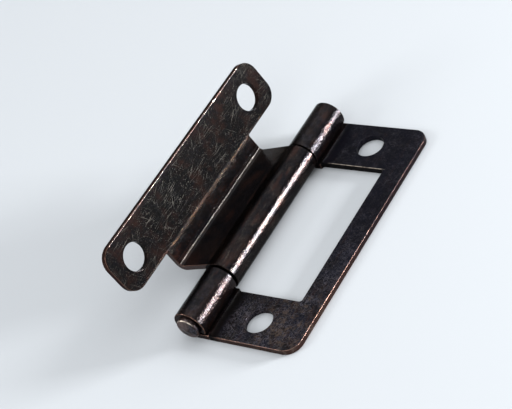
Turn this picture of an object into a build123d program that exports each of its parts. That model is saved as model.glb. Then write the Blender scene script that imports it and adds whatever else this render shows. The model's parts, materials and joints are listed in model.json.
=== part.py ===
"""Cranked hinge: two pressed sheet-steel leaves on one headed pin.

The origin is midway between the frame leaf's screw holes, on the leaf's outer face. The frame leaf lies
level, the pin runs along Y at the leaf's -X side, and the cranked leaf is shown swung open towards -X. Each
piece is drawn about the pin's axis and moved to its place at the end. Sizes are in millimetres and degrees.
"""
from build123d import *
import os
from math import asin, cos, degrees, radians, sin, tan

# Sheet and its edges
sheet = 1.1                 # thickness of both leaves
rim_round = 0.16            # rounding that tumbling leaves on a leaf's outline
cut_round = 0.08            # and on sheltered edges: the window, the screw holes, between the knuckles
seam_gap = 0.15             # from a rolled knuckle's tip to the leaf it curls back to

# Pin and barrel
pin_diameter = 3.7
running_clearance = 0.05    # between the pin and the centre knuckle, all round
barrel_length = 50.0        # over the two end knuckles
end_knuckle_length = 10.5
knuckle_play = 0.4          # between the centre knuckle and each end knuckle, when centred
end_float = 0.1             # how far the cranked leaf has slid along the pin
head_diameter = 4.2
head_height = 1.15          # from the end knuckle to the crown
head_rim = 0.75             # straight part of the head, under its low dome
head_round = 0.3            # at the head's shoulder
tip_recess = 0.2            # from the far knuckle's end down to the pin's tip
tip_chamfer = 0.3

# Frame leaf
frame_reach = 20.3          # from the pin's axis to the outer edge
frame_corner = 2.7
window_end = 10.0           # width of the leaf at each end of the window
window_rail = 4.3           # width of the strip beyond the window
window_corner = 0.5
relief_reach = 3.0          # from the pin's axis to the step where the knuckles' side edges end
relief_round = 0.4

# Cranked leaf
web_length = 8.0            # from the pin's axis to the inner corner of the crank
crank_angle = 93.0          # between the web and the plate
bend_radius = 0.6           # inside the crank
plate_setback = 0.4         # from the barrel's ends in to the plate's
plate_height = 13.2         # from the inner corner of the crank to the outer edge
plate_corner = 3.0
ear_start = 3.6             # from the inner corner of the crank to the ears
notch_round = 0.3           # in the corner where an ear leaves the web's side
web_droop = 14.6            # how far the web hangs below level, as shown

# Screw holes, plain and unchamfered
screw_hole = 5.0
frame_hole_inset = 4.85     # from the leaf's end
frame_hole_offset = 10.5    # from the pin's axis
plate_hole_inset = 5.35     # from the plate's end
plate_hole_height = 8.1     # from the inner corner of the crank

end_bore = pin_diameter / 2
end_barrel = end_bore + sheet
centre_bore = pin_diameter / 2 + running_clearance
centre_barrel = centre_bore + sheet
knuckle_gap = barrel_length - 2 * end_knuckle_length
centre_knuckle_length = knuckle_gap - 2 * knuckle_play
window_length = barrel_length - 2 * window_end
plate_length = barrel_length - 2 * plate_setback

strip_length = max(barrel_length, plate_length) + 2 * sheet
pin_place = Pos(-frame_hole_offset, 0, end_barrel)
frame_face = Plane(origin=(0, 0, -end_barrel), x_dir=(0, 1, 0), z_dir=(0, 0, -1))
plate_up = Vector(cos(radians(crank_angle)), 0, sin(radians(crank_angle)))
plate_face = Plane(
    origin=(-web_length, 0, centre_barrel),
    x_dir=(0, 1, 0),
    z_dir=plate_up.cross(Vector(0, 1, 0)) * -1,
)


def roll(bore, start):
    """Middle line of a knuckle that leaves its leaf at the start angle and curls round the bore."""
    tip = degrees(asin((bore - seam_gap) / (bore + sheet)))
    return CenterArc((0, 0), bore + sheet / 2, start, -(270 + tip))


def frame_line():
    """Middle line of the frame leaf's section: flat under the axis, then rolled."""
    level = -end_bore - sheet / 2
    return Line((frame_reach, level), (0, level)) + roll(end_bore, 270)


def crank_line():
    """Middle line of the cranked leaf's section, with its web level: plate, bend, web and roll."""
    level = centre_bore + sheet / 2
    corner = (-web_length - sheet / 2 / tan(radians(crank_angle / 2)), level)
    half_sheet = plate_face.z_dir * (sheet / 2)
    edge = plate_face.origin + plate_up * plate_height - half_sheet
    bent = FilletPolyline((edge.X, edge.Z), corner, (0, level), radius=bend_radius + sheet / 2)
    return bent + roll(centre_bore, 90)


def strip(line):
    """The middle line given the sheet's thickness and drawn out along the pin."""
    return extrude(Plane.XZ * trace(line, sheet), amount=strip_length / 2, both=True)


def screw_holes(face, half_spacing, offset):
    """Two holes square to a face, in a row along the pin."""
    hole = Cylinder(screw_hole / 2, 4 * sheet)
    return [face * Pos(side * half_spacing, offset) * hole for side in (-1, 1)]


def round_rims(leaf, line, radius, chosen=lambda edge: True):
    """Round the chosen edges out of all where one of the sheet's two faces meets a cut edge."""
    middle = Plane.XZ * line

    def is_sheet_face(face):
        spot = face.position_at(0.5, 0.5)
        return middle.distance_to(Vertex(spot.X, 0, spot.Z)) > sheet / 4

    sheet_faces = leaf.faces().filter_by(is_sheet_face)
    edges = [edge for face in sheet_faces for edge in face.edges()]
    rims = [edge for edge in edges if edges.count(edge) == 1 and chosen(edge)]
    return fillet(rims, radius)


def is_hole_rim(edge):
    """Whether an edge is the mouth of a screw hole."""
    return edge.geom_type == GeomType.CIRCLE and abs(edge.radius - screw_hole / 2) < 1e-6


def in_frame_cuts(edge):
    """Whether an edge of the frame leaf lies in its window or between its knuckles."""
    box = edge.bounding_box()
    along, across = max(box.max.Y, -box.min.Y), box.max.X
    return along < window_length / 2 + rim_round and across < frame_reach - window_rail + rim_round


def corners(outline, along, across):
    """The two corners of an outline that lie this far along the pin each way, and this far from it."""
    return outline.vertices().filter_by(
        lambda corner: abs(abs(corner.X) - along) < 1e-6 and abs(corner.Y - across) < 1e-6
    )


def frame_leaf():
    """Leaf with a window for the cranked leaf's web, and an end knuckle at each side of it."""
    past_barrel = 2 * end_barrel
    window_reach = frame_reach - window_rail
    blank = Pos(0, frame_reach) * Rectangle(
        barrel_length, frame_reach + past_barrel, align=(Align.CENTER, Align.MAX)
    )
    blank = fillet(corners(blank, barrel_length / 2, frame_reach), frame_corner)
    gap = Pos(0, relief_reach) * Rectangle(
        knuckle_gap, relief_reach + past_barrel, align=(Align.CENTER, Align.MAX)
    )
    window = Pos(0, relief_reach) * Rectangle(
        window_length, window_reach - relief_reach, align=(Align.CENTER, Align.MIN)
    )
    cut = fillet(corners(gap + window, window_length / 2, window_reach), window_corner)
    cut = fillet(corners(cut, window_length / 2, relief_reach), relief_round)
    leaf = strip(frame_line()) & extrude(frame_face * blank, amount=3 * end_barrel, both=True)
    leaf = round_rims(leaf, frame_line(), rim_round)
    leaf -= extrude(frame_face * cut, amount=3 * end_barrel, both=True)
    for hole in screw_holes(frame_face, barrel_length / 2 - frame_hole_inset, frame_hole_offset):
        leaf -= hole
    return round_rims(leaf, frame_line(), cut_round, lambda edge: is_hole_rim(edge) or in_frame_cuts(edge))


def cranked_leaf():
    """Leaf with the centre knuckle, a web, and a plate whose two ears stand off beyond the web."""
    ears = Pos(0, ear_start) * Rectangle(
        plate_length, plate_height - ear_start, align=(Align.CENTER, Align.MIN)
    )
    tongue = Pos(0, ear_start) * Rectangle(
        centre_knuckle_length, 2 * notch_round, align=(Align.CENTER, Align.MAX)
    )
    blank = fillet(ears.vertices(), plate_corner) + tongue
    blank = fillet(corners(blank, centre_knuckle_length / 2, ear_start), notch_round)
    outline = Box(strip_length, centre_knuckle_length, 2 * (ear_start + centre_barrel - notch_round))
    outline += extrude(plate_face * blank, amount=2 * sheet, both=True)
    leaf = round_rims(strip(crank_line()) & outline, crank_line(), rim_round)
    for hole in screw_holes(plate_face, plate_length / 2 - plate_hole_inset, plate_hole_height):
        leaf -= hole
    leaf = round_rims(leaf, crank_line(), cut_round, is_hole_rim)
    return Pos(0, end_float) * leaf.rotate(Axis.Y, -web_droop)


def hinge_pin():
    """Pin with a blunt, low-domed head on the near knuckle and a plain tip just inside the far one."""
    seat = -barrel_length / 2
    tip = barrel_length / 2 - tip_recess
    shank = Pos(0, seat) * Rectangle(pin_diameter / 2, tip - seat, align=(Align.MIN, Align.MIN))
    shank = chamfer(shank.vertices().sort_by(Axis.X)[-2:].sort_by(Axis.Y)[-1], tip_chamfer)
    crown = seat - head_height
    rim = seat - head_rim
    edge = head_diameter / 2
    dome_height = head_height - head_rim
    dome_radius = (edge**2 + dome_height**2) / (2 * dome_height)
    dome = RadiusArc((0, crown), (edge, rim), dome_radius)
    head = make_face(dome + Polyline((edge, rim), (edge, seat), (0, seat), (0, crown)))
    head = fillet(head.vertices().sort_by(Axis.X)[-2:].sort_by(Axis.Y)[0], head_round)
    return revolve(shank + head, Axis.Y)


os.makedirs("parts", exist_ok=True)
pieces = {"frame_leaf": frame_leaf(), "cranked_leaf": cranked_leaf(), "hinge_pin": hinge_pin()}
for name, piece in pieces.items():
    export_step(pin_place * piece, f"parts/{name}.step")
    print(name, f"{piece.volume:.1f} mm3")
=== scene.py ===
# %% [markdown]
# A cranked hinge, dressed for its portrait
#
# The object is a small cabinet hinge: two leaves pressed from steel sheet and one headed pin. Every shape
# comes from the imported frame, which this script loads first and never moves. What is left for Blender is the
# finish. The real hinge is copper plated, blackened to an antique bronze and then tumbled, so its story is
# told by colour, scratches and bare copper along the edges. All lengths in Blender are metres.

# %% Load the frame
import json
import math
from types import SimpleNamespace

import bpy
from mathutils import Euler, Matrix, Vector


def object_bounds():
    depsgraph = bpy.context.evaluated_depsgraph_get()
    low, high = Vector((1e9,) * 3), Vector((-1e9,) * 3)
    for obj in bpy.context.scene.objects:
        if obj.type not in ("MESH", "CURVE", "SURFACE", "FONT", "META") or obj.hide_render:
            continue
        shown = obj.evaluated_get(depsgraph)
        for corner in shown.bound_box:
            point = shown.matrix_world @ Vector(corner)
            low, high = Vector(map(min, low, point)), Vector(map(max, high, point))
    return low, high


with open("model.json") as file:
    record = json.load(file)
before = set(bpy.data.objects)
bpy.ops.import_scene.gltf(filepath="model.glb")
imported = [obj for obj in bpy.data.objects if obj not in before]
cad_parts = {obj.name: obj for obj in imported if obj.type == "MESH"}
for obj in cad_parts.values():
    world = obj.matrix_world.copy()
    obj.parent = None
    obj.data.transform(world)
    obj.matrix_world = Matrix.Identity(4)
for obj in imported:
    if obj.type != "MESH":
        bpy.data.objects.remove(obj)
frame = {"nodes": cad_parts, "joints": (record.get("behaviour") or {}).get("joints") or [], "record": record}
cad_low, cad_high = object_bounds()
leaf_frame = frame["nodes"]["frame_leaf"]
leaf_crank = frame["nodes"]["cranked_leaf"]
pin = frame["nodes"]["hinge_pin"]
joint = frame["joints"][0]
print("CAD box", [round(1000 * side, 2) for side in cad_high - cad_low], "mm")

# %% [markdown]
# Lengths and colours
#
# Patterns on a part this small are a fraction of a millimetre wide. They are easier to judge in millimetres,
# so each one is written that way and turned to metres, or to a texture scale, by a one-line function. Colours
# are written as the sRGB hex values that an eye would pick, and one function turns them to the linear values
# that the shader works in.

# %% Units and colours
MM = 0.001


def repeats(size_mm):
    """Texture scale at which one feature of the pattern is about this many millimetres wide."""
    return 1 / (size_mm * MM)


def srgb(code):
    """Linear RGBA from a hex value such as "8a5a3c"."""
    channels = [int(code[place:place + 2], 16) / 255 for place in (0, 2, 4)]
    linear = [c / 12.92 if c <= 0.04045 else ((c + 0.055) / 1.055) ** 2.4 for c in channels]
    return (*linear, 1.0)


print("a pattern of 1 mm has texture scale", round(repeats(1.0)))

# %% [markdown]
# Where the sheet faces
#
# Copper shows where tumbling rubbed hardest, which is on the rounded rims between a leaf's face and its cut
# edge. A rim can be found from the surface normal alone: on a flat face the normal points straight out of the
# sheet, on the cut edge it lies in the sheet, and on the rounded rim it is between the two. To use that, the
# shader needs each leaf's facing direction, which is straight up for the level frame leaf. The cranked leaf's
# plate leans, so its direction is worked out from the record's mount on that face.

# %% Directions of the two leaves
mounts = {mount["name"]: mount for mount in frame["record"]["mounts"]}
pin_axis = Vector(joint["pos_m"])
along_pin = Vector((0, 1, 0))
frame_facing = Vector((0, 0, 1))
frame_out = Vector((1, 0, 0))
plate_facing = Vector(mounts["plate_seat"]["axis"]).normalized()
plate_up = plate_facing.cross(along_pin)
plate_point = Vector(mounts["plate_seat"]["pos_m"])
print("plate leans", round(math.degrees(frame_facing.angle(plate_facing)), 1), "degrees")

# %% [markdown]
# One helper for nodes
#
# A material is a graph. Writing each node out takes many lines, so one small function adds a node, sets its
# properties, and either fills or links its inputs. Everything below is built from it.


# %% The node helper
def add(tree, kind, inputs=None, **settings):
    """Adds a shader node. Inputs maps a socket's name or number to a value or to another node's output."""
    node = tree.nodes.new("ShaderNode" + kind)
    for name, value in settings.items():
        setattr(node, name, value)
    for socket, value in (inputs or {}).items():
        if isinstance(value, bpy.types.NodeSocket):
            tree.links.new(value, node.inputs[socket])
        else:
            node.inputs[socket].default_value = value
    return node


print("every node is made by", add.__name__)

# %% [markdown]
# Small steps that every finish shares
#
# A ramp between two levels turns a soft noise into a mask, and a mask blends one colour over another. A noise
# wanders about a middle level of 0.5, so the closer together a ramp's levels are, the harder its patches'
# edges, and the higher they are, the fewer the patches. Where several things must all be true, such as rubbed
# and not sheltered, their masks are multiplied. These steps are named here because each finish below uses
# them many times.


# %% Masks and blends
def between(tree, value, low, high, start=0.0, end=1.0):
    """Smooth step: start at and under low, end at and over high."""
    inputs = {"Value": value, "From Min": low, "From Max": high, "To Min": start, "To Max": end}
    return add(tree, "MapRange", inputs, interpolation_type="SMOOTHSTEP").outputs["Result"]


def times(tree, *masks):
    """Product of several masks."""
    product = masks[0]
    for mask in masks[1:]:
        product = add(tree, "Math", {0: product, 1: mask}, operation="MULTIPLY").outputs[0]
    return product


def over(tree, under, colour, mask):
    """The colour laid over another by a mask from 0 to 1."""
    return add(tree, "Mix", {0: mask, 6: under, 7: colour}, data_type="RGBA").outputs[2]


print("steps:", ", ".join(step.__name__ for step in (between, times, over)))

# %% [markdown]
# Noise in the metal's own space
#
# Object coordinates stay with the piece when the hinge swings, so a finish that reads them does too. Clouds
# of noise do for oxide and smut, which settle on the surface without any direction. Where a leaf was wiped,
# the smut shows fine curls, and those are the contour lines of such a noise.

# %% Clouds
CURL_BREADTH = 0.035        # of the noise's range, from the middle of a curl to its edge


def place_of(tree):
    """Object coordinates of the surface point, in metres."""
    return add(tree, "TexCoord").outputs["Object"]


def clouds(tree, place, size_mm, detail=4.0, roughness=0.55, shift=0.0, twist=0.0):
    """Noise with features of about this size, drawn into curls by a twist."""
    moved = add(tree, "Mapping", {"Vector": place, "Location": (shift, shift, shift)}).outputs[0]
    inputs = {
        "Vector": moved, "Scale": repeats(size_mm), "Detail": detail, "Roughness": roughness,
        "Distortion": twist,
    }
    return add(tree, "TexNoise", inputs, normalize=True).outputs["Fac"]


def curls(tree, place, size_mm, shift):
    """Thin curly lines, where a twisted noise crosses its own middle level."""
    level = clouds(tree, place, size_mm, detail=2.0, roughness=0.5, shift=shift, twist=0.8)
    off_level = add(tree, "Math", {0: level, 1: 0.5}, operation="SUBTRACT").outputs[0]
    off_level = add(tree, "Math", {0: off_level}, operation="ABSOLUTE").outputs[0]
    return between(tree, off_level, 0.0, CURL_BREADTH, start=1.0, end=0.0)


print("a curl fills", round(2 * CURL_BREADTH, 2), "of its noise's range")

# %% [markdown]
# Unrolling the sheet
#
# Rolling grain and scratches lie in the sheet and follow it round the knuckles. A pattern placed in plain
# space would cut straight through the roll and smear. So the surface is unrolled in the shader: past a start
# line on the flat part, the first coordinate is the distance out along the leaf, and on the rest it is the
# distance round the barrel. The second coordinate is always the distance along the pin.

# %% Coordinates on the unrolled sheet
barrel_radius = pin_axis.z


def reach_of(tree, place, outward, start):
    """Metres out along the flat of a leaf, from its start line."""
    from_start = add(tree, "VectorMath", {0: place, 1: start}, operation="SUBTRACT").outputs["Vector"]
    return add(tree, "VectorMath", {0: from_start, 1: outward}, operation="DOT_PRODUCT").outputs["Value"]


def unrolled(tree, place, reach):
    """Distance across the sheet, distance along the pin, and 0."""
    arm = add(tree, "VectorMath", {0: place, 1: pin_axis}, operation="SUBTRACT").outputs["Vector"]
    arm = add(tree, "SeparateXYZ", {0: arm})
    angle = add(tree, "Math", {0: arm.outputs["Z"], 1: arm.outputs["X"]}, operation="ARCTAN2").outputs[0]
    curl = times(tree, angle, barrel_radius)
    on_flat = add(tree, "Math", {0: reach, 1: 0.0}, operation="GREATER_THAN").outputs[0]
    across = add(tree, "Mix", {0: on_flat, 2: curl, 3: reach}, data_type="FLOAT").outputs[0]
    return add(tree, "CombineXYZ", {0: across, 1: arm.outputs["Y"]}).outputs[0]


print("barrel unrolls at radius", round(barrel_radius / MM, 2), "mm")

# %% [markdown]
# Streaks
#
# A streak is the same noise read through squeezed coordinates, so each feature becomes long one way and
# narrow the other. The turn comes first and the squeeze second, which lets the streaks lie at any angle to
# the pin.


# %% Stretched noise
def streaks(tree, sheet, angle_deg, length_mm, width_mm, detail=0.0, shift=0.0):
    """Noise drawn out in the sheet, at an angle from the pin's direction."""
    turn = {"Vector": sheet, "Rotation": (0, 0, math.radians(angle_deg)), "Location": (shift, shift, 0)}
    turned = add(tree, "Mapping", turn).outputs[0]
    squeeze = (repeats(width_mm), repeats(length_mm), 1.0)
    drawn = add(tree, "Mapping", {"Vector": turned, "Scale": squeeze}).outputs[0]
    inputs = {"Vector": drawn, "Scale": 1.0, "Detail": detail, "Roughness": 0.5}
    return add(tree, "TexNoise", inputs, normalize=True).outputs["Fac"]


print("a streak 5 mm long repeats", round(repeats(5.0)), "times in a metre")

# %% [markdown]
# Finding the rims
#
# The mask below is 0 on a leaf's face, rises over the rounded rim and is 1 on the cut edge. On the flat it
# compares the normal with the way the leaf faces. Round the knuckles the sheet curls, so there it compares
# the normal with the pin's direction instead.


# %% How far a normal has tipped over a rim
def tipped(tree, facing, reach):
    """0 on a sheet face and 1 on its cut edge, by how far the normal lies in the sheet."""
    normal = add(tree, "TexCoord").outputs["Normal"]
    straight = add(tree, "VectorMath", {0: normal, 1: facing}, operation="DOT_PRODUCT").outputs["Value"]
    flat = add(tree, "Math", {0: straight, 1: 2.0}, operation="POWER").outputs[0]
    flat = add(tree, "Math", {0: 1.0, 1: flat}, operation="SUBTRACT").outputs[0]
    curled = add(tree, "SeparateXYZ", {0: normal}).outputs["Y"]
    curled = add(tree, "Math", {0: curled, 1: 2.0}, operation="POWER").outputs[0]
    on_flat = add(tree, "Math", {0: reach, 1: 0.0}, operation="GREATER_THAN").outputs[0]
    return add(tree, "Mix", {0: on_flat, 2: curled, 3: flat}, data_type="FLOAT").outputs[0]


print("halfway over a rim the mask is", round(math.sin(math.radians(45)) ** 2, 2))

# %% [markdown]
# Round the screw holes
#
# A hole's rim is sheltered in the tumbler, so it stays black where the outline is rubbed bare. The distance
# from the nearest hole's axis tells the shader where that shelter is. The holes' places come from the record,
# so they agree with the real cuts. The same function measures from the pin's axis, which tells the barrel
# from the rest.

# %% Distance from the screw holes
half_spacing = mounts["frame_screws"]["dims"]["spacing_y_mm"] * MM / 2
frame_middle = Vector(mounts["frame_screws"]["pos_m"])
frame_holes = [frame_middle + along_pin * (side * half_spacing) for side in (-1, 1)]
plate_holes = [Vector(mounts[name]["pos_m"]) for name in ("plate_screw_near", "plate_screw_far")]
hole_radius = mounts["plate_screw_near"]["dims"]["r_mm"] * MM
print("screw holes", round(2 * hole_radius / MM, 2), "mm across")


def from_axes(tree, place, direction, points):
    """Metres to the nearest of several axes that run one way, each through a point."""
    nearest = 1.0
    for point in points:
        arm = add(tree, "VectorMath", {0: place, 1: point}, operation="SUBTRACT").outputs["Vector"]
        square = add(tree, "VectorMath", {0: arm, 1: direction}, operation="CROSS_PRODUCT").outputs["Vector"]
        far = add(tree, "VectorMath", {0: square}, operation="LENGTH").outputs["Value"]
        nearest = add(tree, "Math", {0: far, 1: nearest}, operation="MINIMUM").outputs[0]
    return nearest


# %% [markdown]
# In the crease beside the barrel
#
# Where the frame leaf's rolled knuckles come back down to their own leaf there is a deep crease. Nothing rubs
# or wipes it, so it is dull and the copper doesn't show, and its colour is painted nearly black as painted
# shade.

# %% Shelter beside the barrel
# The crease's near-black colour is painted shade, darkest up to CREASE_FULL.
CREASE_FULL = 0.3 * MM      # the crease is sootiest up to here, from the leaf's start line
CREASE_END = 2.4 * MM


def out_of_crease(tree, reach):
    """0 in the crease and 1 further out, or on the knuckle itself."""
    on_flat = add(tree, "Math", {0: reach, 1: -CREASE_FULL}, operation="GREATER_THAN").outputs[0]
    beside = between(tree, reach, CREASE_FULL, CREASE_END, start=1.0, end=0.0)
    crease = times(tree, on_flat, beside)
    return add(tree, "Math", {0: 1.0, 1: crease}, operation="SUBTRACT").outputs[0]


print("the crease is", round(CREASE_END / MM, 1), "mm wide")

# %% [markdown]
# Antique bronze, the finish on every piece
#
# The real finish starts as copper plating on steel. A dip turns the copper's surface to a brown-black oxide,
# and a clear lacquer seals it. To the eye it is a very dark metal, so its metallic value is a little under 1.
# Where a scratch or a rubbed rim goes through the oxide the value is 1. On the cranked leaf's web and bend,
# where the soot of the dip stays on, it is a little under a half. The lacquer is a thin coat that adds to the
# whitish gloss where a lamp is mirrored. The IOR keeps its default of 1.5, as a metal's does. All these
# colours are far darker than the part looks, because the light that it mirrors is added to them.

# %% The colours of the finish
OXIDE_BLACK = srgb("0c0b0e")
# The frame leaf's flat tint: blue-black oxide, its blue partly a painted reflection of blue surroundings.
OXIDE_AND_BLUE_REFLECTION = srgb("161824")
OXIDE_BROWN = srgb("1c1514")
OXIDE_RED = srgb("2e1c17")
# Darker blue-black of the frame leaf's far half: partly oxide tone, partly painted reflection.
FAR_OXIDE_AND_REFLECTION = srgb("0c0d18")
# Soot on the flats, and also the painted shade of the crease and the colour of the window's walls.
SOOT_AND_SHADE = srgb("060505")
SMUT_GREY = srgb("464654")
SMUT_PALE = srgb("74707a")
COPPER = srgb("b88d79")
COPPER_DULL = srgb("3a2722")
COPPER_TAN = srgb("5e5048")
# Pale of the scratches, and also of the painted highlights on the far lip, the bend and the pin's shoulder.
SCRATCH_AND_HIGHLIGHT_PALE = srgb("c8beb0")
# Colour of the painted reflection of the frame leaf's rim in the plate.
RIM_REFLECTION_BROWN = srgb("5c4734")
PIN_BROWN = srgb("6a5a55")
OXIDE_METALLIC = 0.88
SOOTY_METALLIC = 0.42
LACQUER_WEIGHT = 0.06
LACQUER_ROUGHNESS = 0.1
print("red light mirrored: oxide", round(OXIDE_BLACK[0], 4), "bare copper", round(COPPER[0], 2))

# %% [markdown]
# The places of one piece
#
# Each layer of the finish asks the same things of a point: how far out it lies, whether it is on the flat or
# on the barrel, and whether the tumbler reached it. They are worked out once for each piece and kept together
# under one name, the piece's skin. A point is exposed on the barrel and out on the open flat, and sheltered
# between the two.

# %% The skin of a piece
BARREL_MARGIN = 0.15 * MM   # outside the barrel's radius, where its mask begins to fade
BARREL_FADED = 0.45 * MM
OPEN_REACH = (1.2 * MM, 2.8 * MM)   # past the start line, from sheltered to open


def skin_of(material, facing, outward, start, creased):
    """A material's node tree with the places that every layer of its finish reads."""
    tree = material.node_tree
    place = place_of(tree)
    reach = reach_of(tree, place, outward, start)
    from_pin = from_axes(tree, place, along_pin, [pin_axis])
    margin, faded = barrel_radius + BARREL_MARGIN, barrel_radius + BARREL_FADED
    on_barrel = between(tree, from_pin, margin, faded, start=1.0, end=0.0)
    opened = between(tree, reach, *OPEN_REACH)
    return SimpleNamespace(
        tree=tree, place=place, facing=facing, reach=reach, creased=creased, on_barrel=on_barrel,
        sheet=unrolled(tree, place, reach),
        on_flat=add(tree, "Math", {0: reach, 1: 0.0}, operation="GREATER_THAN").outputs[0],
        exposed=add(tree, "Math", {0: on_barrel, 1: opened}, operation="MAXIMUM").outputs[0],
        open_place=out_of_crease(tree, reach) if creased else 1.0,
    )


print("the flat is open from", round(OPEN_REACH[1] / MM, 1), "mm past its start line")

# %% [markdown]
# Oxide, smut and soot
#
# The dip doesn't take evenly. It leaves black and tinted patches a few millimetres wide, and reddish streaks
# along the rolling grain, where the oxide is thin. A cloudy grey smut dries on top, with paler curls where it
# was wiped. Soot darkens the flats, and the crease is painted nearly black as painted shade. Each layer but
# the crease's shade is a noise turned to a mask, with its own size in millimetres and its own shift, so that
# no two of them repeat each other.


# %% Colour of the unworn finish
def unworn_colour(skin, tint, smutted, sooted):
    """Oxide in patches and streaks, then the smut and the soot that lie on it, and the crease's painted shade.
    """
    tree, place = skin.tree, skin.place
    flat_tint = over(tree, OXIDE_BROWN, tint, skin.on_flat)
    patches = between(tree, clouds(tree, place, size_mm=3.5), 0.4, 0.62)
    colour = over(tree, OXIDE_BLACK, flat_tint, patches)
    thin = streaks(tree, skin.sheet, angle_deg=0, length_mm=5.0, width_mm=1.0, detail=5.0, shift=0.11)
    colour = over(tree, colour, OXIDE_RED, between(tree, thin, 0.5, 0.7, end=0.7))

    on_face = between(tree, skin.on_flat, 0.0, 1.0, start=0.15)
    wiped = between(tree, clouds(tree, place, size_mm=2.5, shift=0.43), 0.4, 0.65, start=0.25, end=smutted)
    wiped = times(tree, wiped, skin.open_place, on_face)
    dried = clouds(tree, place, size_mm=0.45, detail=6.0, roughness=0.7, shift=0.23, twist=0.6)
    colour = over(tree, colour, SMUT_GREY, times(tree, between(tree, dried, 0.48, 0.66), wiped))
    both = {0: curls(tree, place, size_mm=1.0, shift=0.31), 1: curls(tree, place, size_mm=0.7, shift=0.39)}
    curl = add(tree, "Math", both, operation="MAXIMUM").outputs[0]
    colour = over(tree, colour, SMUT_PALE, times(tree, curl, wiped, 0.8))

    colour = over(tree, colour, SOOT_AND_SHADE, times(tree, skin.on_flat, sooted))
    # Painted shade: the crease is laid nearly black.
    if skin.creased:
        colour = over(tree, colour, SOOT_AND_SHADE, between(tree, skin.open_place, 0.0, 1.0, start=0.9, end=0.0))
    return colour


print("oxide, smut and soot are ready")

# %% [markdown]
# The scratches
#
# In the tumbler the hinges rub against each other, and most marks run along the leaf, with a few across. Each
# is a hair: the crest of a noise that is stretched to more than a hundred times its width, and bent a little
# by a second noise. Real ones are about a fiftieth of a millimetre wide, which would vanish at this picture's
# size, so they are drawn about twice that wide. Each layer is an angle from the pin, a length and a width in
# millimetres, the noise level above which a mark shows, and a shift that keeps the layers from repeating each
# other. Between the hairs lie small specks, where two hinges knocked. Another noise thins the marks out in
# patches, because the hinges didn't touch everywhere.

# %% Scratch layers
SCRATCH_LAYERS = [
    (-3, 8.0, 0.05, 0.77, 0.013),
    (6, 7.0, 0.045, 0.77, 0.029),
    (-14, 6.0, 0.045, 0.78, 0.083),
    (22, 6.0, 0.045, 0.78, 0.047),
    (50, 5.0, 0.045, 0.79, 0.041),
    (-60, 5.0, 0.045, 0.79, 0.057),
]
SCRATCH_SOFT = 0.06         # rise in the noise from a mark's edge to its middle
SCRATCH_BEND = 0.12 * MM


def scratches(skin):
    """Long marks and specks together, 1 in a mark and 0 between them."""
    tree = skin.tree
    wander = clouds(tree, skin.place, size_mm=3.0, detail=1.0, roughness=0.5, shift=0.19)
    bends = {0: wander, 1: (SCRATCH_BEND, SCRATCH_BEND, 0), 2: skin.sheet}
    bent = add(tree, "VectorMath", bends, operation="MULTIPLY_ADD").outputs[0]
    marks = 0.0
    for angle, length, width, level, shift in SCRATCH_LAYERS:
        crest = streaks(tree, bent, angle, length, width, shift=shift)
        hair = between(tree, crest, level, level + SCRATCH_SOFT)
        marks = add(tree, "Math", {0: hair, 1: marks}, operation="MAXIMUM").outputs[0]
    knocks = clouds(tree, skin.place, size_mm=0.15, detail=1.0, roughness=0.5, shift=0.77)
    specks = between(tree, knocks, 0.67, 0.74, end=0.8)
    return add(tree, "Math", {0: specks, 1: marks}, operation="MAXIMUM").outputs[0]


def marks_of(skin, scratched):
    """The scratches that a piece shows: fewer where nothing touched it, and fewer round a knuckle."""
    tree = skin.tree
    touched = between(tree, clouds(tree, skin.place, size_mm=1.8, shift=0.37), 0.38, 0.62, start=0.22)
    scuff = times(tree, skin.exposed, between(tree, skin.on_flat, 0.0, 1.0, start=0.4), scratched)
    return times(tree, scratches(skin), touched, scuff)


print(len(SCRATCH_LAYERS), "layers of scratches")

# %% [markdown]
# Bare rims
#
# Tumbling rubs the rounded rims through to patches of bare copper, and leaves the cut edges behind them a
# dull brown. Neither happens at a screw hole, in the crease, or at the inner ends of the knuckles, where one
# shelters the next. So three masks are made: the rim as such, the cut edge that shows, and the bare patches.

# %% Rims and cut edges
HOLE_SHELTER = (0.35 * MM, 0.6 * MM)    # outside a hole, from sheltered to open
OUTER_ENDS = (20 * MM, 22 * MM)         # along the pin from its middle, likewise


def rims_of(skin, holes, rubbed_rim):
    """Masks of the rounded rims, of the cut edges that show, and of the bare copper."""
    tree = skin.tree
    from_hole = from_axes(tree, skin.place, skin.facing, holes)
    sheltered, opened = (hole_radius + margin for margin in HOLE_SHELTER)
    past_hole = between(tree, from_hole, sheltered, opened, start=0.1)
    along = add(tree, "SeparateXYZ", {0: skin.place}).outputs["Y"]
    along = add(tree, "Math", {0: along}, operation="ABSOLUTE").outputs[0]
    inner_end = times(tree, skin.on_barrel, between(tree, along, *OUTER_ENDS, start=0.9, end=0.0))
    outer_end = add(tree, "Math", {0: 1.0, 1: inner_end}, operation="SUBTRACT").outputs[0]
    open_edge = times(tree, past_hole, skin.open_place, outer_end)

    tip = tipped(tree, skin.facing, skin.reach)
    rim = times(tree, between(tree, tip, 0.1, 0.35), between(tree, tip, 0.75, 0.97, start=1.0, end=0.0))
    off_barrel = between(tree, skin.on_barrel, 0.0, 1.0, start=1.0, end=0.15)
    cut_edge = times(tree, between(tree, tip, 0.75, 0.97), off_barrel, open_edge)
    patches = clouds(tree, skin.place, size_mm=0.7, detail=6.0, shift=0.51)
    bare = times(tree, rim, between(tree, patches, 0.36, 0.64, start=0.15, end=rubbed_rim), open_edge)
    return rim, cut_edge, bare


print("hole rims are sheltered for", round(HOLE_SHELTER[1] / MM, 1), "mm")

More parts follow.
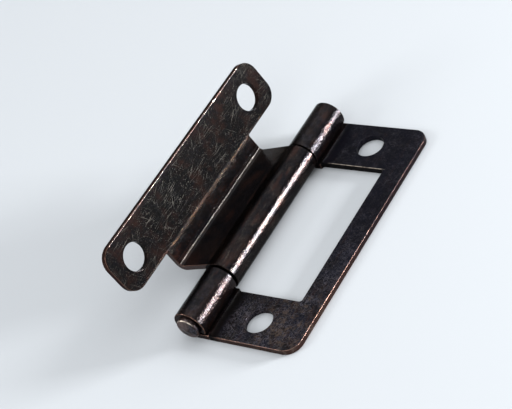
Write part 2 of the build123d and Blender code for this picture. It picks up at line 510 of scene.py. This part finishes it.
# %% [markdown]
# Grain and dullness
#
# The relief is a fine grain of one octave of noise, which breaks the lamp's image into short flecks. It
# dimples the rolled knuckles, where the sheet was stretched, and the frame leaf's rims, and it hardly shows
# on the flats, which stayed as smooth as they left the press. A scratch is a little duller than what lies
# round it, each piece has its own dullness on the flat, and the crease is the dullest.

# %% Relief and roughness
GRAIN_MM = 0.3
GRAIN_DEPTH = 0.045 * MM
FLAT_GRAIN = 0.1            # share of the grain that is left on a flat
SCRATCH_DULL = 0.04


def grain_of(skin, rim, grained, dimpled_rim):
    """Normal of the grained surface."""
    tree = skin.tree
    coarse = between(tree, skin.on_flat, 0.0, 1.0, start=grained, end=FLAT_GRAIN)
    coarse = add(tree, "Math", {0: times(tree, rim, dimpled_rim), 1: coarse}, operation="MAXIMUM").outputs[0]
    noise = clouds(tree, skin.place, GRAIN_MM, detail=1.0, roughness=0.5, shift=0.7)
    relief = {"Height": times(tree, noise, coarse), "Strength": 1.0, "Distance": GRAIN_DEPTH}
    return add(tree, "Bump", relief).outputs[0]


def roughness_of(skin, marks, matt):
    """Roughness with cloudy patches, duller marks and a dull crease."""
    tree = skin.tree
    patches = clouds(tree, skin.place, size_mm=1.2, shift=0.9)
    rough = between(tree, patches, 0.35, 0.7, start=0.1, end=0.15)
    rough = add(tree, "Math", {0: marks, 1: SCRATCH_DULL, 2: rough}, operation="MULTIPLY_ADD").outputs[0]
    rough = add(tree, "Math", {0: skin.on_flat, 1: matt, 2: rough}, operation="MULTIPLY_ADD").outputs[0]
    if skin.creased:
        sooty = between(tree, skin.open_place, 0.0, 1.0, start=0.35, end=0.0)
        rough = add(tree, "Math", {0: rough, 1: sooty}, operation="ADD").outputs[0]
    return rough


print("grain", GRAIN_MM, "mm wide and up to", round(GRAIN_DEPTH / MM, 3), "mm deep")

# %% [markdown]
# The bronze function
#
# It lays the finish down in the order of the real process: oxide, smut and soot, then scratches, and then the
# copper of the outline. Each piece passes its own tint and amounts. The colour, the metallic value and the
# roughness come from the same masks, so a scratch is pale, metallic and a little duller. Seen at a glancing
# angle, oxide mirrors less than clean metal does. The shader's Specular Tint sets that for a metal, so each
# piece passes a grey for it.


# %% Build the finish for one piece
def antique_bronze(
    name, tint, facing, outward, start, holes, scratched, smutted, rubbed_rim, sooted, matt, grained,
    dimpled_rim, glancing, creased=False,
):
    """Blackened copper plating under lacquer."""
    material = bpy.data.materials.new(name)
    material.use_nodes = True
    skin = skin_of(material, facing, outward, start, creased)
    tree = skin.tree
    marks = marks_of(skin, scratched)
    rim, cut_edge, bare = rims_of(skin, holes, rubbed_rim)
    grain = grain_of(skin, rim, grained, dimpled_rim)

    colour = unworn_colour(skin, tint, smutted, sooted)
    colour = over(tree, colour, SCRATCH_AND_HIGHLIGHT_PALE, times(tree, marks, skin.open_place))
    colour = over(tree, colour, COPPER_DULL, cut_edge)
    colour = over(tree, colour, COPPER, bare)
    unworn = OXIDE_METALLIC
    if not creased:
        unworn = between(tree, skin.exposed, 0.0, 1.0, start=SOOTY_METALLIC, end=OXIDE_METALLIC)
    worn = add(tree, "Math", {0: bare, 1: marks}, operation="MAXIMUM").outputs[0]

    shader = tree.nodes["Principled BSDF"]
    tree.links.new(colour, shader.inputs["Base Color"])
    tree.links.new(between(tree, worn, 0.0, 0.6, start=unworn), shader.inputs["Metallic"])
    tree.links.new(roughness_of(skin, marks, matt), shader.inputs["Roughness"])
    tree.links.new(grain, shader.inputs["Normal"])
    tree.links.new(grain, shader.inputs["Coat Normal"])
    shader.inputs["Coat Weight"].default_value = LACQUER_WEIGHT
    shader.inputs["Coat Roughness"].default_value = LACQUER_ROUGHNESS
    shader.inputs["Specular Tint"].default_value = (glancing, glancing, glancing, 1.0)
    print(name, "has", len(tree.nodes), "nodes")
    return material


# %% [markdown]
# Dressing the three pieces
#
# The frame leaf came out blue-black, and part of its blue is a painted reflection of blue surroundings. It is
# cloudy and rather matt, with few marks. The cranked leaf is browner and glossier, with most of the scratches
# on its plate. The pin's head is a brownish grey. Each piece's flat part begins at a start line: beside the
# barrel on the frame leaf, just above the bend on the plate, and just before the head on the pin.

# %% Give each piece its finish
FRAME_START = 3.3 * MM      # out from the pin's axis
PLATE_START = 6.9 * MM      # down the plate from the level of its screw holes
HEAD_START = 24.5 * MM      # towards the head from the hinge's middle


def dress(piece, material):
    """The only material on a piece."""
    piece.data.materials.clear()
    piece.data.materials.append(material)
    print(piece.name, "wears", material.name)


frame_start = pin_axis + frame_out * FRAME_START
plate_start = plate_point - plate_up * PLATE_START
head_start = -along_pin * HEAD_START
frame_bronze = antique_bronze(
    "BlackenedCopper_frame_leaf", OXIDE_AND_BLUE_REFLECTION, frame_facing, frame_out, frame_start, frame_holes,
    scratched=0.25, smutted=0.8, rubbed_rim=0.45, sooted=0.2, matt=0.18, grained=1.5, dimpled_rim=1.0,
    glancing=0.5, creased=True,
)
crank_bronze = antique_bronze(
    "BlackenedCopper_cranked_leaf", OXIDE_BROWN, plate_facing, plate_up, plate_start, plate_holes,
    scratched=0.68, smutted=0.1, rubbed_rim=0.25, sooted=0.8, matt=-0.07, grained=1.0, dimpled_rim=0.15,
    glancing=0.35,
)
pin_bronze = antique_bronze(
    "BlackenedCopper_hinge_pin", PIN_BROWN, along_pin, -along_pin, head_start, [],
    scratched=0.0, smutted=0.75, rubbed_rim=0.0, sooted=0.0, matt=0.22, grained=1.0, dimpled_rim=0.0,
    glancing=0.5,
)
dress(leaf_frame, frame_bronze)
dress(leaf_crank, crank_bronze)
dress(pin, pin_bronze)

# %% [markdown]
# Marks that have a place
#
# Some wear, and some painted highlights and reflections, have a place of their own, and each such mark is one
# more colour laid over what already reaches the shader. It needs only a mask, which is most often a band
# between two distances.


# %% Lay one more colour on
def lay_on(material, colour, mask):
    """One more colour on top of a finished material."""
    tree = material.node_tree
    socket = tree.nodes["Principled BSDF"].inputs["Base Color"]
    tree.links.new(over(tree, socket.links[0].from_socket, colour, mask), socket)


def band(tree, value, low, high, soft):
    """1 between two values, falling to 0 over a soft border outside each."""
    rise = between(tree, value, low - soft, low)
    return times(tree, rise, between(tree, value, high, high + soft, start=1.0, end=0.0))


print("marks are laid on by", lay_on.__name__)

# %% [markdown]
# Places on the frame leaf
#
# The leaf's near outer corner is scuffed to a tan cloud. Its far half is laid over with a darker blue-black in
# a faint mottle, partly the oxide's own tone and partly a painted reflection of blue surroundings, and less
# smut shows there. The walls of the window are laid nearly black. The lip above the far wall has a painted
# highlight, a broken pale line.

# %% Lay the frame leaf's places on
SCUFFED_CORNER = Vector((6.5, -21.0, 0.0)) * MM
SCUFF_SIZE = (2 * MM, 13 * MM)  # round that corner, from fully scuffed to clean
FAR_HALF = (-16 * MM, 8 * MM)   # along the pin, from smutty to bluest
WINDOW_HALF = 15.0 * MM     # from the leaf's middle to either end of its window
WINDOW_SIDE = 5.5 * MM      # from the screw holes out to the window's long side
WINDOW_SOFT = 0.3 * MM

tree = frame_bronze.node_tree
place = place_of(tree)
spot = add(tree, "SeparateXYZ", {0: place}).outputs
reach = reach_of(tree, place, frame_out, frame_start)

from_corner = add(tree, "VectorMath", {0: place, 1: SCUFFED_CORNER}, operation="SUBTRACT").outputs["Vector"]
from_corner = add(tree, "VectorMath", {0: from_corner}, operation="LENGTH").outputs["Value"]
scuffed = between(tree, from_corner, *SCUFF_SIZE, start=0.8, end=0.0)
tanned = clouds(tree, place, size_mm=1.1, detail=6.0, roughness=0.7, shift=0.61)
lay_on(frame_bronze, COPPER_TAN, times(tree, scuffed, between(tree, tanned, 0.45, 0.68)))

# Partly painted reflection: the far half is laid over with a darker blue-black.
farther = between(tree, spot["Y"], *FAR_HALF, end=0.85)
mottle = clouds(tree, place, size_mm=1.3, detail=6.0, roughness=0.75, shift=0.93)
mottle = between(tree, mottle, 0.4, 0.6, start=1.0, end=0.62)
past_start = between(tree, reach, -0.3 * MM, 0.3 * MM)
lay_on(frame_bronze, FAR_OXIDE_AND_REFLECTION, times(tree, farther, mottle, past_start))

# The walls of the window are laid nearly black.
wall = between(tree, tipped(tree, frame_facing, reach), 0.8, 0.95)
window_end = WINDOW_HALF + WINDOW_SOFT
along_window = band(tree, spot["Y"], -window_end, window_end, WINDOW_SOFT)
inside_rail = between(tree, spot["X"], WINDOW_SIDE + 0.5 * MM, WINDOW_SIDE + 1.0 * MM, start=1.0, end=0.0)
lay_on(frame_bronze, SOOT_AND_SHADE, times(tree, wall, times(tree, along_window, inside_rail), 0.9))

# Painted highlight: a broken pale line on the lip above the window's far wall.
painted_lip_highlight = band(tree, spot["Y"], WINDOW_HALF + 0.07 * MM, WINDOW_HALF + 0.13 * MM, 0.05 * MM)
painted_lip_highlight = times(tree, painted_lip_highlight, band(tree, spot["X"], -5.6 * MM, WINDOW_SIDE - 0.3 * MM, 0.7 * MM))
lip_highlight_flecks = clouds(tree, place, size_mm=0.6, detail=4.0, roughness=0.7, shift=0.27)
lay_on(frame_bronze, SCRATCH_AND_HIGHLIGHT_PALE, times(tree, painted_lip_highlight, between(tree, lip_highlight_flecks, 0.35, 0.58, start=0.15)))
print("frame leaf now has", len(tree.nodes), "nodes")

# %% [markdown]
# Places on the plate
#
# A broken brown line runs along the plate, level with the corners where its ears begin. It is a painted
# reflection of the frame leaf's bright rim, which is mirrored in the plate just there, and the line is also
# made a little duller to soften that image. Reddish oxide shows through in large patches. The inner corner of
# the bend is a tight hollow, and a thin pale line along it is a painted highlight.

# %% Lay the plate's places on
EARS_BEGIN = 2.4 * MM       # up the plate from its start line
BEND_HIGHLIGHT_LINE = -0.8 * MM
SHEET_MIDDLE = -0.5 * MM    # under the plate's inner face, about halfway to its outer one

tree = crank_bronze.node_tree
place = place_of(tree)
reach = reach_of(tree, place, plate_up, plate_start)
sheet = unrolled(tree, place, reach)

# Painted reflection: a broken brown line, where the plate mirrors the frame leaf's rim.
painted_rim_reflection = band(tree, reach, EARS_BEGIN - 0.1 * MM, EARS_BEGIN + 0.1 * MM, 0.4 * MM)
reflection_streaks = streaks(tree, sheet, angle_deg=0, length_mm=2.5, width_mm=0.12, detail=2.0, shift=0.71)
reflection_gaps = clouds(tree, place, size_mm=0.4, detail=4.0, roughness=0.7, shift=0.87)
painted_rim_reflection = times(tree, painted_rim_reflection, between(tree, reflection_streaks, 0.48, 0.66), between(tree, reflection_gaps, 0.42, 0.62, start=0.1))
lay_on(crank_bronze, RIM_REFLECTION_BROWN, painted_rim_reflection)

dulled = band(tree, reach, EARS_BEGIN - 0.5 * MM, EARS_BEGIN + 0.1 * MM, 0.5 * MM)
veil = clouds(tree, place, size_mm=0.5, detail=4.0, roughness=0.7, shift=0.67)
dulled = times(tree, dulled, between(tree, veil, 0.35, 0.6, start=0.02, end=0.07))
rough_socket = tree.nodes["Principled BSDF"].inputs["Roughness"]
dulled = add(tree, "Math", {0: rough_socket.links[0].from_socket, 1: dulled}, operation="ADD").outputs[0]
tree.links.new(dulled, rough_socket)

rusty = clouds(tree, place, size_mm=4.5, detail=6.0, roughness=0.75, shift=0.57)
rusty = between(tree, rusty, 0.47, 0.66, end=0.65)
lay_on(crank_bronze, OXIDE_RED, times(tree, rusty, between(tree, reach, 0.0, 0.3 * MM)))

height = reach_of(tree, place, plate_facing, plate_point)
inside = add(tree, "Math", {0: height, 1: SHEET_MIDDLE}, operation="GREATER_THAN").outputs[0]
# Painted highlight: a thin pale line along the inner corner of the bend.
painted_bend_highlight = band(tree, reach, BEND_HIGHLIGHT_LINE - 0.05 * MM, BEND_HIGHLIGHT_LINE + 0.05 * MM, 0.15 * MM)
bend_highlight_flecks = clouds(tree, place, size_mm=0.8, detail=3.0, roughness=0.6, shift=0.83)
bend_highlight_flecks = between(tree, bend_highlight_flecks, 0.3, 0.6, start=0.02, end=0.05)
lay_on(crank_bronze, SCRATCH_AND_HIGHLIGHT_PALE, times(tree, painted_bend_highlight, inside, bend_highlight_flecks))
print("cranked leaf now has", len(tree.nodes), "nodes")

# %% [markdown]
# Places on the pin's head
#
# The upper part of the head's shoulder has a painted highlight, pale and broken. Beside the middle of its
# crown is a small dark red spot, where the plating is gone. It is drawn as colour only. A hammer left the
# crown uneven, which a second bump adds on top of the grain.

# %% Lay the head's places on
HEAD_SPOT = pin_axis + Vector((0.3, 0.0, -0.25)) * MM
LUMP_DEPTH = 0.14 * MM

tree = pin_bronze.node_tree
place = place_of(tree)

# Painted highlight: pale flecks on the upper part of the head's shoulder.
shoulder = tipped(tree, along_pin, reach_of(tree, place, -along_pin, head_start))
shoulder = times(
    tree, between(tree, shoulder, 0.1, 0.4), between(tree, shoulder, 0.8, 0.95, start=1.0, end=0.0)
)
height = add(tree, "SeparateXYZ", {0: place}).outputs["Z"]
above = between(tree, height, pin_axis.z + 0.9 * MM, pin_axis.z + 1.6 * MM)
shoulder_highlight_flecks = clouds(tree, place, size_mm=0.5, detail=3.0, roughness=0.7, shift=0.53)
shoulder_highlight_flecks = between(tree, shoulder_highlight_flecks, 0.38, 0.6, start=0.2, end=0.8)
lay_on(pin_bronze, SCRATCH_AND_HIGHLIGHT_PALE, times(tree, shoulder, above, shoulder_highlight_flecks))

from_spot = from_axes(tree, place, along_pin, [HEAD_SPOT])
lay_on(pin_bronze, OXIDE_RED, between(tree, from_spot, 0.12 * MM, 0.3 * MM, start=0.75, end=0.0))

pin_shader = tree.nodes["Principled BSDF"]
grained_normal = pin_shader.inputs["Normal"].links[0].from_socket
lumps = clouds(tree, place, size_mm=0.9, detail=1.0, roughness=0.5, shift=0.33)
hammered = {"Height": lumps, "Strength": 1.0, "Distance": LUMP_DEPTH, "Normal": grained_normal}
lumpy = add(tree, "Bump", hammered).outputs[0]
tree.links.new(lumpy, pin_shader.inputs["Normal"])
tree.links.new(lumpy, pin_shader.inputs["Coat Normal"])
print("pin now has", len(tree.nodes), "nodes")

# %% [markdown]
# The floor
#
# The floor is plain and pale, and lies at the hinge's lowest point. It has no gloss, because its glare would
# be mirrored in the plate.

# %% Make the floor
FLOOR_HALF = 1.5
PAPER_WHITE = srgb("c4c9ce")
SQUARE = ((-1, -1), (1, -1), (1, 1), (-1, 1))
floor_height = cad_low.z
floor_mesh = bpy.data.meshes.new("floor")
floor_corners = [(x * FLOOR_HALF, y * FLOOR_HALF, floor_height) for x, y in SQUARE]
floor_mesh.from_pydata(floor_corners, [], [(0, 1, 2, 3)])
floor = bpy.data.objects.new("floor", floor_mesh)
bpy.context.scene.collection.objects.link(floor)
paper = bpy.data.materials.new("MattPaper_floor")
paper.use_nodes = True
paper_shader = paper.node_tree.nodes["Principled BSDF"]
paper_shader.inputs["Base Color"].default_value = PAPER_WHITE
paper_shader.inputs["Roughness"].default_value = 1.0
paper_shader.inputs["Specular IOR Level"].default_value = 0.0
floor_mesh.materials.append(paper)
print("floor at", round(floor_height / MM, 2), "mm")

# %% [markdown]
# The light
#
# A dark metal shows its shape only by what it mirrors. The photograph has one soft lamp low on the right. Its
# mirror image is the bright band along the barrel, and it also lights the rims that face right. A weaker lamp
# at the near left picks out the rims that face the camera. Two wide soft lamps and a dim, even world light
# fill in the rest at a plain level. A lamp is set by its radiance, which is how bright its surface looks, so
# its size can change without a change in the mirror image.


# %% Lamps and world
def lamp(name, toward, distance, wide, high, radiance):
    """A soft lamp that faces the hinge from a direction."""
    data = bpy.data.lights.new(name, "AREA")
    data.shape = "RECTANGLE"
    data.size, data.size_y = wide, high
    data.energy = radiance * math.pi * wide * high
    made = bpy.data.objects.new(name, data)
    bpy.context.scene.collection.objects.link(made)
    direction = Vector(toward).normalized()
    made.location = pin_axis + direction * distance
    made.rotation_euler = (-direction).to_track_quat("-Z", "Y").to_euler()
    print(name, round(data.energy, 2), "W")


lamp("low_right", (0.854, 0.51, 0.1), distance=0.5, wide=0.13, high=0.13, radiance=165.0)
lamp("near_left", (-0.64, -0.58, 0.48), distance=0.8, wide=0.25, high=0.25, radiance=12.0)
lamp("behind_camera", (0.35, -0.75, 0.6), distance=0.8, wide=0.5, high=0.5, radiance=2.0)
lamp("overhead", (0.05, 0.35, 0.93), distance=0.9, wide=1.2, high=1.2, radiance=1.0)

world = bpy.data.worlds.new("plain_light")
world.use_nodes = True
world_light = world.node_tree.nodes["Background"]
world_light.inputs["Color"].default_value = (1.0, 1.0, 1.0, 1.0)
world_light.inputs["Strength"].default_value = 0.5
bpy.context.scene.world = world

# %% [markdown]
# The camera
#
# The camera stands where the photographer's did: close, about forty degrees above the frame leaf, looking
# across the barrel, and rolled so that the pin runs up to the right. Its long lens keeps the leaves' edges
# nearly parallel.

# %% Make the camera
camera_place = Vector((158.9, -139.7, 179.3)) * MM
camera_aim = Vector((-11.62, 0.81, 4.69)) * MM
camera_roll = math.radians(-29.2)
camera_data = bpy.data.cameras.new("camera")
camera_data.sensor_width = 36.0
camera_data.lens = 115.7
camera_data.clip_start = 0.01
camera = bpy.data.objects.new("camera", camera_data)
bpy.context.scene.collection.objects.link(camera)
camera.location = camera_place
looking = (camera_aim - camera.location).to_track_quat("-Z", "Y")
camera.rotation_mode = "QUATERNION"
camera.rotation_quaternion = looking @ Euler((0, 0, camera_roll)).to_quaternion()
bpy.context.scene.camera = camera
bpy.context.scene.view_settings.view_transform = "Standard"
print("camera", round((camera_aim - camera_place).length / MM), "mm from its aim")
